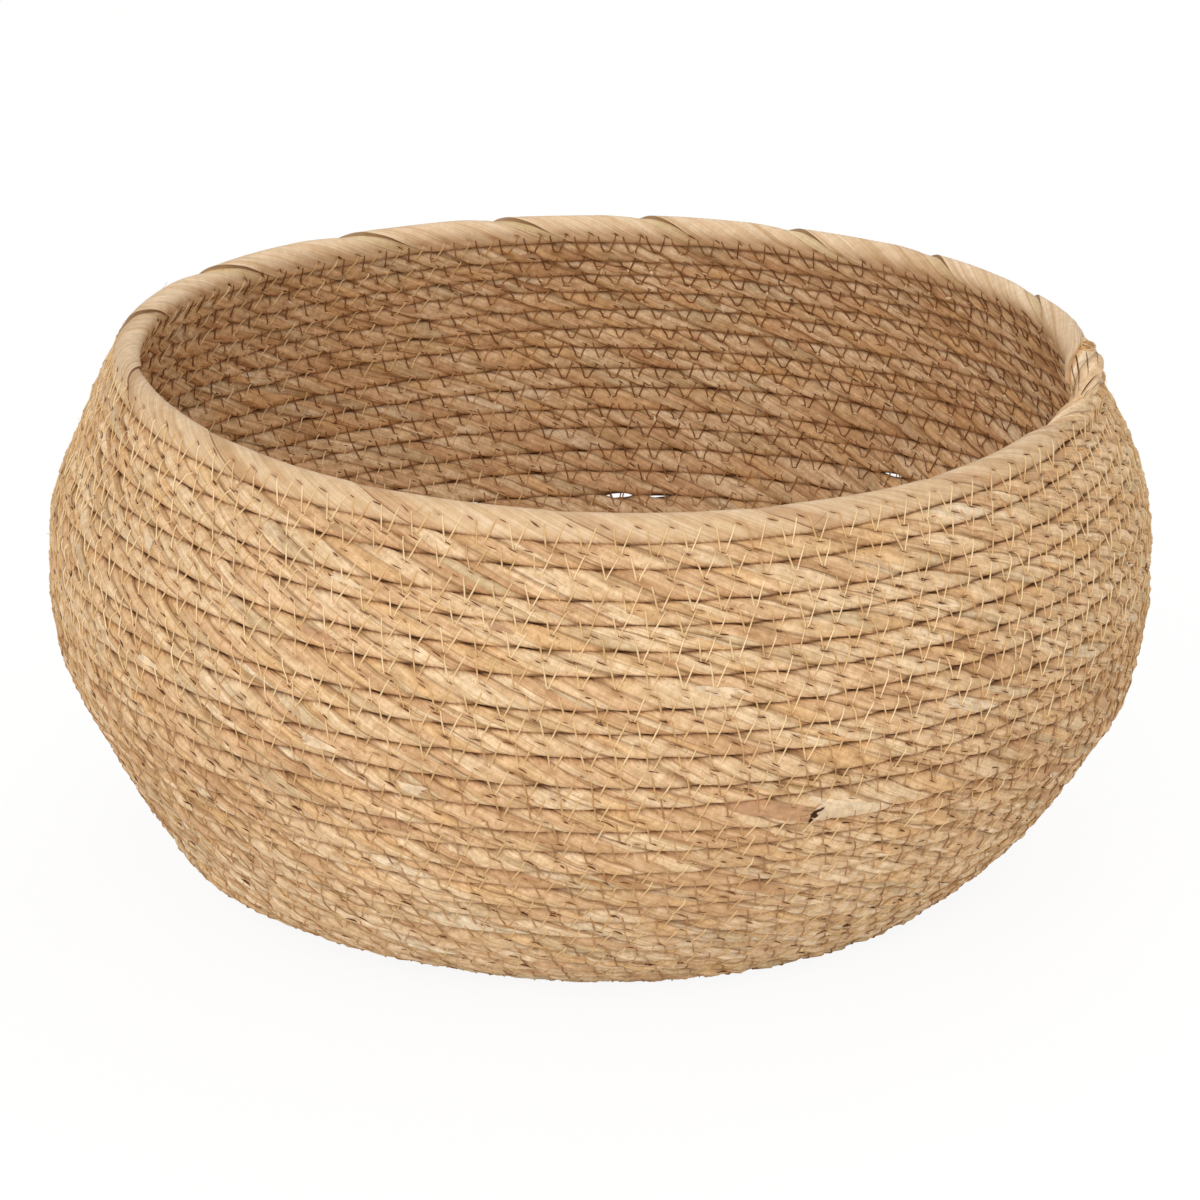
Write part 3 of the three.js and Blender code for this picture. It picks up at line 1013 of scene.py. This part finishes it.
# The needle holes
# The needle splits the leaf where it passes, and leaves short slits, dark with painted shadow,
# along the fibres at both ends of a stitch. Inside, torn bits of pale leaf stand at many holes.
slit_half_length = 1.75 * mm
slit_half_width = 0.19 * mm
slit_tilt = math.radians(24)
slit_lift = 0.13 * mm
inner_upper_hole = 2.5 * mm
fleck_half_length = 1.1 * mm
fleck_half_width = 0.34 * mm
fleck_lift = 0.55 * mm
above_floor = 0.8 * mm


def lens_outlines(turns, across, above, side, lift, half_length, half_width, tilt):
    """Lenses of six points that lie on the leaf by the seam. tilt turns them from along the rope
    towards up."""
    run = np.array([-1, -0.35, 0.4, 1, 0.35, -0.4])[None, :] * half_length
    rise = np.array([0, 1, 1, 0, -1, -1])[None, :] * half_width
    moved = across + run * np.cos(tilt) - rise * np.sin(tilt)
    raised = above + run * np.sin(tilt) + rise * np.cos(tilt)
    return near_seam(turns[:, None] + 0 * moved, moved, raised, side, lift)


def slit_outlines(turns, across, above, side, seed):
    """Slits along the leaf's fibres, which slant down along the rope outside and up inside. Their
    places, length, width and tilt vary."""
    chance = np.random.default_rng(seed)
    count = (len(turns), 1)
    return lens_outlines(
        turns,
        across + chance.uniform(-0.7, 0.7, count) * mm,
        above + chance.uniform(-0.35, 0.35, count) * mm,
        side,
        slit_lift,
        slit_half_length * chance.uniform(0.5, 1.4, count),
        slit_half_width * chance.uniform(0.5, 1.4, count),
        -side * (slit_tilt + chance.uniform(-0.2, 0.2, count)),
    )


def fleck_outlines(turns, seed):
    """Bits of torn leaf at the lower ends of the inner stitches, turned any way."""
    chance = np.random.default_rng(seed)
    count = (len(turns), 1)
    return lens_outlines(
        turns,
        chance.uniform(-1.2, 0.9, count) * mm,
        -lower_hole + chance.uniform(-0.9, 0.3, count) * mm,
        -1,
        fleck_lift,
        fleck_half_length * chance.uniform(0.5, 1.5, count),
        fleck_half_width * chance.uniform(0.5, 1.5, count),
        chance.uniform(-0.3, 2.2, count),
    )


def lens_piece(name, outlines, side, material):
    """Many lenses as one piece, each of two quads, turned to face outwards or inwards. Those that
    would lie on the floor are left out."""
    outlines = outlines[outlines[:, :, 2].min(axis=1) > above_floor]
    if side < 0:
        outlines = outlines[:, ::-1]
    faces = many(len(outlines), 6, np.array([[0, 5, 4, 3], [0, 3, 2, 1]]))
    layers = {"OFBake": quads_in_cells(len(outlines), 2)}
    return new_piece(name, outlines.reshape(-1, 3), (faces,), layers, material)


def two_tone_material(name, first, second, roughness):
    """Plain leaf in two colours that change from place to place."""
    material, tree, shader = new_material(name)
    colour = ramp(grain(here_in(tree), 160.0, 1.0), ((0.35, *first), (0.65, *second)))
    finish_shader(shader, colour, roughness, 0.1)
    return material


def some(turns, share, seed):
    """A seeded share of the stitches."""
    return turns[np.random.default_rng(seed).uniform(0, 1, len(turns)) < share]


# The slits at the needle holes and at the rope's end are dark lenses of painted shadow where the leaf parts.
painted_slit_shadow = two_tone_material("painted_slit_shadow", (92, 58, 34), (142, 98, 62), 0.9)
torn_leaf = two_tone_material("torn_leaf", (226, 190, 142), (252, 228, 190), 0.7)
all_stitches = np.concatenate([seam_stitches(first, last) for _, first, last in sewn_parts])
slit_share = 0.85 - 0.4 * eased(all_stitches, 11, 15)
for side, word, top in ((1, "outer", upper_hole), (-1, "inner", inner_upper_hole)):
    high = some(all_stitches, slit_share, 61 + side)
    low = some(all_stitches, slit_share, 64 + side)
    slits = np.vstack([
        slit_outlines(high, 6.2 * mm, top + 0.4 * mm, side, 62),
        slit_outlines(low, 0.2 * mm, -lower_hole - 0.3 * mm, side, 63),
    ])
    lens_piece(f"needle_slits_{word}", slits, side, painted_slit_shadow)
lens_piece("torn_flecks_inner", fleck_outlines(some(all_stitches, 0.5, 66), 67), -1, torn_leaf)

# Spliced leaves
# Each leaf is about a metre long, so new ones are laid in all along the rope. Here and
# there the end of one shows, torn and paler or browner than the rope round it.
scrap_steps = 22
scrap_rows = 11
scrap_bump = 0.2 * mm
scrap_margin_share = 0.05
scrap_count = 46
seen_scraps = (4.833, 4.697, 6.762)
splice_gaps = (
    (-0.5, 5.6, 0.5, 2.4, 1.0, 0.9),
    (0.5, 6.6, 0.55, 1.5, 0.8, 0.1),
    (-1.6, 3.8, 0.6, 1.8, 0.6, 1.2),
    (-0.2, 4.6, 0.65, 1.3, 0.7, -0.4),
    (1.6, 7.4, 0.7, 1.2, 0.4, 0.6),
)


def leaf_scraps(turns, middles, lengths, widths, heading, side, seed):
    """Grids over the rope from a torn edge to a point: the width follows a quarter ellipse, the torn
    edge is jagged and stands up, and the rest sinks in. heading is 1 or -1 along the rope."""
    chance = np.random.default_rng(seed)
    count = len(turns)
    run = np.linspace(0, 1, scrap_steps)[None, :, None]
    across = np.linspace(-1, 1, scrap_rows)[None, None, :]
    jagged = chance.uniform(-0.1, 0.1, (count, 1, scrap_rows))
    jagged = jagged + chance.uniform(-0.12, 0.12, (count, 1, 1)) * across
    along = (run + jagged * (1 - run) ** 2) * lengths[:, None, None] * heading[:, None, None]
    width = widths[:, None, None] * np.sqrt(np.clip(1 - run ** 2, 0, 1))
    slope = side * math.tan(slit_tilt) * 0.5
    below = middles[:, None, None] + across * width + slope * along
    lift = (0.2 - 0.22 * run ** 4 - 0.12 * across ** 8 + 0.3 * (1 - run) ** 8) * mm
    row = turns[:, None, None] + along / (2 * np.pi * route(turns)[0])[:, None, None]
    return on_row(row, below, side, lift)


def scrap_piece(name, grids, facing, material):
    """Many grids as one piece. facing is 1 for those that show their front, and -1 for those that
    are laid the other way."""
    count = len(grids)
    ring, column = quad_grid(scrap_steps, scrap_rows - 1)
    quads = turned_over((ring * scrap_rows + column).reshape(-1, 4))
    turned = np.where(facing[:, None, None] > 0, quads[None], quads[None, :, ::-1])
    faces = many(count, scrap_steps * scrap_rows, turned)
    along = np.linspace(0, 1, scrap_steps)[:, None]
    places = in_cells(count, along, np.linspace(0, 1, scrap_rows), scrap_margin_share)
    layers = {"OFBake": places[faces.ravel()]}
    return new_piece(name, grids.reshape(-1, 3), (faces,), layers, material)


def scrap_material(name, tone):
    """Dry leaf with fine fibres, mottled."""
    material, tree, shader = new_material(name)
    here = here_in(tree)
    light = remap(grain(here, 420.0, 3.0, 0.7), 0.3, 0.7, 0.84, 1.1)
    light = light * remap(grain(here, 120.0), 0.3, 0.7, 0.9, 1.06)
    colour = times(tone, vector(tree, light, light, light))
    finish_shader(shader, colour, 0.75, 0.2, 0.4, scrap_bump, light)
    return material


pale_scrap = scrap_material("pale_torn_leaf", srgb(241, 213, 176))
brown_scrap = scrap_material("brown_torn_leaf", srgb(206, 160, 120))
one = np.ones(1)
brown_turn = splice_at - 0.0005
shown_pale = leaf_scraps(splice_at * one, 0.3 * mm * one, 34 * mm * one, 5.4 * mm * one, one, 1, 81)
shown_brown = leaf_scraps(brown_turn * one, 1.2 * mm * one, 33 * mm * one, 3.3 * mm * one, -one, 1, 82)
chance = np.random.default_rng(83)
scrap_turns = np.append(chance.uniform(1.1, 19.5, scrap_count - len(seen_scraps)), seen_scraps)
scrap_middles = chance.uniform(-2.4, 2.4, scrap_count) * mm
scrap_lengths = chance.uniform(6, 15, scrap_count) * mm
scrap_widths = chance.uniform(0.7, 2.0, scrap_count) * mm
scrap_heading = np.where(chance.uniform(0, 1, scrap_count) < 0.5, 1.0, -1.0)
scrap_sizes = (scrap_middles, scrap_lengths, scrap_widths, scrap_heading)
outer_scraps = leaf_scraps(scrap_turns, *scrap_sizes, 1, 84)
inner_scraps = leaf_scraps(scrap_turns - 0.4, *scrap_sizes, -1, 85)
is_pale = np.arange(scrap_count) % 3 < 2
for word, shown, facing, chosen, material in (
    ("pale", shown_pale, one, is_pale, pale_scrap),
    ("brown", shown_brown, -one, ~is_pale, brown_scrap),
):
    grids = np.concatenate([shown, outer_scraps[chosen], inner_scraps[chosen]])
    facing = np.concatenate([facing, scrap_heading[chosen], -scrap_heading[chosen]])
    scrap_piece(f"spliced_leaf_ends_{word}", grids, facing, material)
across, above, lift, half_length, half_width, tilt = np.array(splice_gaps).T[:, :, None]
splice_holes = lens_outlines(
    np.full(len(splice_gaps), splice_at), across * mm, above * mm, 1, lift * mm, half_length * mm,
    half_width * mm, tilt,
)
# The gaps where the spliced leaves part are dark lenses of painted shadow.
painted_hole_shadow = two_tone_material("painted_hole_shadow", (66, 40, 24), (88, 56, 34), 0.9)
lens_piece("splice_holes", splice_holes, 1, painted_hole_shadow)

# The rope's loose end
# On the rim's right the wrap stops, and the rope's end sinks into the row below. A few
# loops of thread are tangled over it and by the wrap's end, and slits, dark with painted
# shadow, part its leaves.
tangle_turn = -0.0325
tangle_steps = 16
end_slit_lift = 0.12 * mm
end_slits = (
    (-0.030, -0.061, -112, -98, 0.24 * mm),
    (-0.034, -0.055, -76, -62, 0.16 * mm),
    (-0.036, -0.062, -134, -120, 0.16 * mm),
    (-0.034, -0.048, -38, -26, 0.12 * mm),
    (-0.052, -0.064, -22, -92, 0.32 * mm),
    (-0.058, -0.067, -30, -84, 0.16 * mm),
)


def tangled_loops(turn, angle, count, size, seed):
    """Open loops on the rope round one place: ellipses of many sizes and tilts, more or less raised."""
    chance = np.random.default_rng(seed)
    shape = (count, 1)
    sweep = 2 * np.pi * (np.linspace(0, 1.15, tangle_steps)[None, :] + chance.uniform(0, 1, shape))
    first = size * chance.uniform(0.45, 1.0, shape) * np.cos(sweep)
    second = size * chance.uniform(0.15, 0.75, shape) * np.sin(sweep)
    tilt = chance.uniform(0, np.pi, shape)
    along = 2 * (first * np.cos(tilt) - second * np.sin(tilt)) + 0.4 * size * chance.uniform(-1, 1, shape)
    around = first * np.sin(tilt) + second * np.cos(tilt) + 0.3 * size * chance.uniform(-1, 1, shape)
    lift = (0.3 + 0.3 * chance.uniform(0, 1, shape) + 0.35 * np.sin(sweep + tilt)) * mm
    return rope_surface(turn + along / (2 * np.pi * rim_radius), angle + around / rope_half_width, lift=lift)


def tail_slits():
    """Thin grids along the rope's end, from the turns where each starts and stops, the angles round
    the rope at which it does, and its half width. The width follows a sine arch."""
    run = np.linspace(0, 1, scrap_steps)[:, None]
    across = np.linspace(-1, 1, scrap_rows)[None, :]
    grids = []
    for start, stop, first_angle, last_angle, half_width in end_slits:
        around = np.radians(first_angle + (last_angle - first_angle) * run)
        around = around + across * np.sin(np.pi * run) * half_width / rope_half_width
        grids.append(rope_surface(start + (stop - start) * run, around, lift=end_slit_lift))
    return np.stack(grids)


tangles = np.concatenate([
    tangled_loops(tangle_turn, math.radians(-66), 7, 2.5 * mm, 71),
    tangled_loops(tangle_turn - 0.022, math.radians(-160), 4, 1.4 * mm, 72),
])
tangle_outward = outward_at(np.full(len(tangles), tangle_turn))
tangle_gleam = np.random.default_rng(73).uniform(0.35, 0.85, (len(tangles), 1))
thread_piece("end_tack", tangles, tangle_outward, thread_radius, tangle_gleam, golden_thread)
scrap_piece("end_slits", tail_slits(), np.ones(len(end_slits)), painted_slit_shadow)

# Loose fibres
# Fine fibres of dry leaf come off the rope all over the basket, and in small bunches at
# the torn ends of the spliced leaves.
fibre_radius = 0.07 * mm
fibre_rings = 7
fibre_count = 240
fibres_per_tear = 5
fibre_reach = 3.8 * mm


def loose_fibres(turns, middles, lengths, headings, side, seed):
    """Thin curved hairs that start in the leaf and rise off it by a parabola."""
    chance = np.random.default_rng(seed)
    count = (len(turns), 1)
    run = np.linspace(0, 1, fibre_rings)[None, :]
    rise = chance.uniform(-0.9, 0.9, count)
    curl = chance.uniform(-0.5, 0.5, count)
    away = chance.uniform(0.05, 0.4, count)
    along = run * lengths[:, None] * headings[:, None] * np.cos(rise)
    below = middles[:, None] + lengths[:, None] * (np.sin(rise) * run + curl * run ** 2) * 0.45
    row = turns[:, None] + along / (2 * np.pi * route(turns)[0])[:, None]
    lift = 0.1 * mm * (run > 0) - 0.2 * mm * (run == 0) + away * lengths[:, None] * run ** 2 * 0.5
    return on_row(row, np.clip(below, -fibre_reach, fibre_reach), side, lift)


chance = np.random.default_rng(91)
fibre_turns = chance.uniform(0.1, 19.8, fibre_count)
fibre_middles = chance.uniform(-3.4, 3.4, fibre_count) * mm
fibre_lengths = chance.uniform(3, 11, fibre_count) * mm
fibre_headings = np.where(chance.uniform(0, 1, fibre_count) < 0.5, 1.0, -1.0)
at_tears = np.repeat(np.append(scrap_turns, np.full(4, splice_at)), fibres_per_tear)
tear_middles = np.repeat(np.append(scrap_middles, np.zeros(4)), fibres_per_tear)
tear_middles = tear_middles + chance.uniform(-1.5, 1.5, len(at_tears)) * mm
tear_headings = -np.repeat(np.append(scrap_heading, np.ones(4)), fibres_per_tear)
tear_lengths = chance.uniform(2, 6, len(at_tears)) * mm
fibres = np.concatenate([
    loose_fibres(fibre_turns, fibre_middles, fibre_lengths, fibre_headings, 1, 92),
    loose_fibres(fibre_turns + 0.3, fibre_middles, fibre_lengths, fibre_headings, -1, 93),
    loose_fibres(at_tears, tear_middles, tear_lengths, tear_headings, 1, 94),
])
fibre_outward = np.vstack([outward_at(fibre_turns), -outward_at(fibre_turns + 0.3), outward_at(at_tears)])
fibre_gleam = chance.uniform(0.2, 1.0, (len(fibres), 1))
thread_piece("loose_fibres", fibres, fibre_outward, fibre_radius, fibre_gleam, golden_thread)

# The floor, the light and the camera
# The photograph is a studio shot on white, from a little above the rim. The camera's
# place and lens come from a fit of the basket's outline and rows to it.
photo_size = 1200
focal_pixels = 4173
principal_x = 603.7
principal_y = 537.8
camera_distance = 1.527
camera_elevation = math.radians(18.88)
target_height = 118.4 * mm
sensor = 36.0
floor_half = 6.0
floor_drop = 0.2 * mm
floor_glow = 1.035
floor_glow_share = 0.88
sky_light = 0.6
sky_seen = 1.0
lamp_target = (0, 0, 0.1)


def camera_ray(tree):
    """1 where the camera sees the point itself, and 0 where light only bounces off it."""
    return shader_node(tree, "LightPath", {}, {}, "Is Camera Ray")


def plain_floor():
    """A pale floor that shows white to the camera and keeps a soft shadow."""
    material, tree, shader = new_material("pale_floor")
    give(shader, "Base Color", srgb(246, 245, 243))
    give(shader, "Roughness", 0.9)
    glow = shader_node(tree, "Emission", {}, {"Color": (1, 1, 1, 1), "Strength": floor_glow})
    white = {0: camera_ray(tree) * floor_glow_share, 1: Reading(shader.outputs[0]), 2: glow}
    output = next(node for node in tree.nodes if node.type == "OUTPUT_MATERIAL")
    give(output, "Surface", shader_node(tree, "MixShader", {}, white))
    corners = [(x * floor_half, y * floor_half, -floor_drop) for x, y in ((-1, -1), (1, -1), (1, 1), (-1, 1))]
    mesh = bpy.data.meshes.new("floor")
    mesh.from_pydata(corners, [], [(0, 1, 2, 3)])
    mesh.materials.append(material)
    floor = bpy.data.objects.new("floor", mesh)
    bpy.context.scene.collection.objects.link(floor)


def soft_lamp(name, place, size, power):
    """A square soft box aimed at the basket."""
    lamp = bpy.data.lights.new(name, "AREA")
    lamp.size = size
    lamp.energy = power
    holder = bpy.data.objects.new(name, lamp)
    holder.location = place
    x, y, z = np.array(lamp_target) - np.array(place)
    holder.rotation_euler = (math.acos(-z / math.hypot(x, y, z)), 0, math.atan2(y, x) - math.pi / 2)
    bpy.context.scene.collection.objects.link(holder)


plain_floor()
soft_lamp("front_box", (-0.42, -2.0, 1.3), 1.8, 24.0)
soft_lamp("back_box", (0.6, 1.4, 1.9), 1.6, 9)
world = bpy.data.worlds.new("studio")
bpy.context.scene.world = world
world.use_nodes = True
sky = world.node_tree.nodes["Background"]
give(sky, "Strength", remap(camera_ray(world.node_tree), 0.0, 1.0, sky_light, sky_seen))
give(sky, "Color", (1, 1, 1, 1))

lens = bpy.data.cameras.new("camera")
lens.sensor_width = sensor
lens.lens = focal_pixels / photo_size * sensor
lens.shift_x = (photo_size / 2 - principal_x) / photo_size
lens.shift_y = (principal_y - photo_size / 2) / photo_size
lens.clip_start = 0.05
lens.clip_end = 50
camera = bpy.data.objects.new("camera", lens)
camera.location = (
    0,
    -camera_distance * math.cos(camera_elevation),
    target_height + camera_distance * math.sin(camera_elevation),
)
camera.rotation_euler = (math.pi / 2 - camera_elevation, 0, 0)
bpy.context.scene.collection.objects.link(camera)
bpy.context.scene.camera = camera
bpy.context.scene.view_settings.view_transform = "Standard"
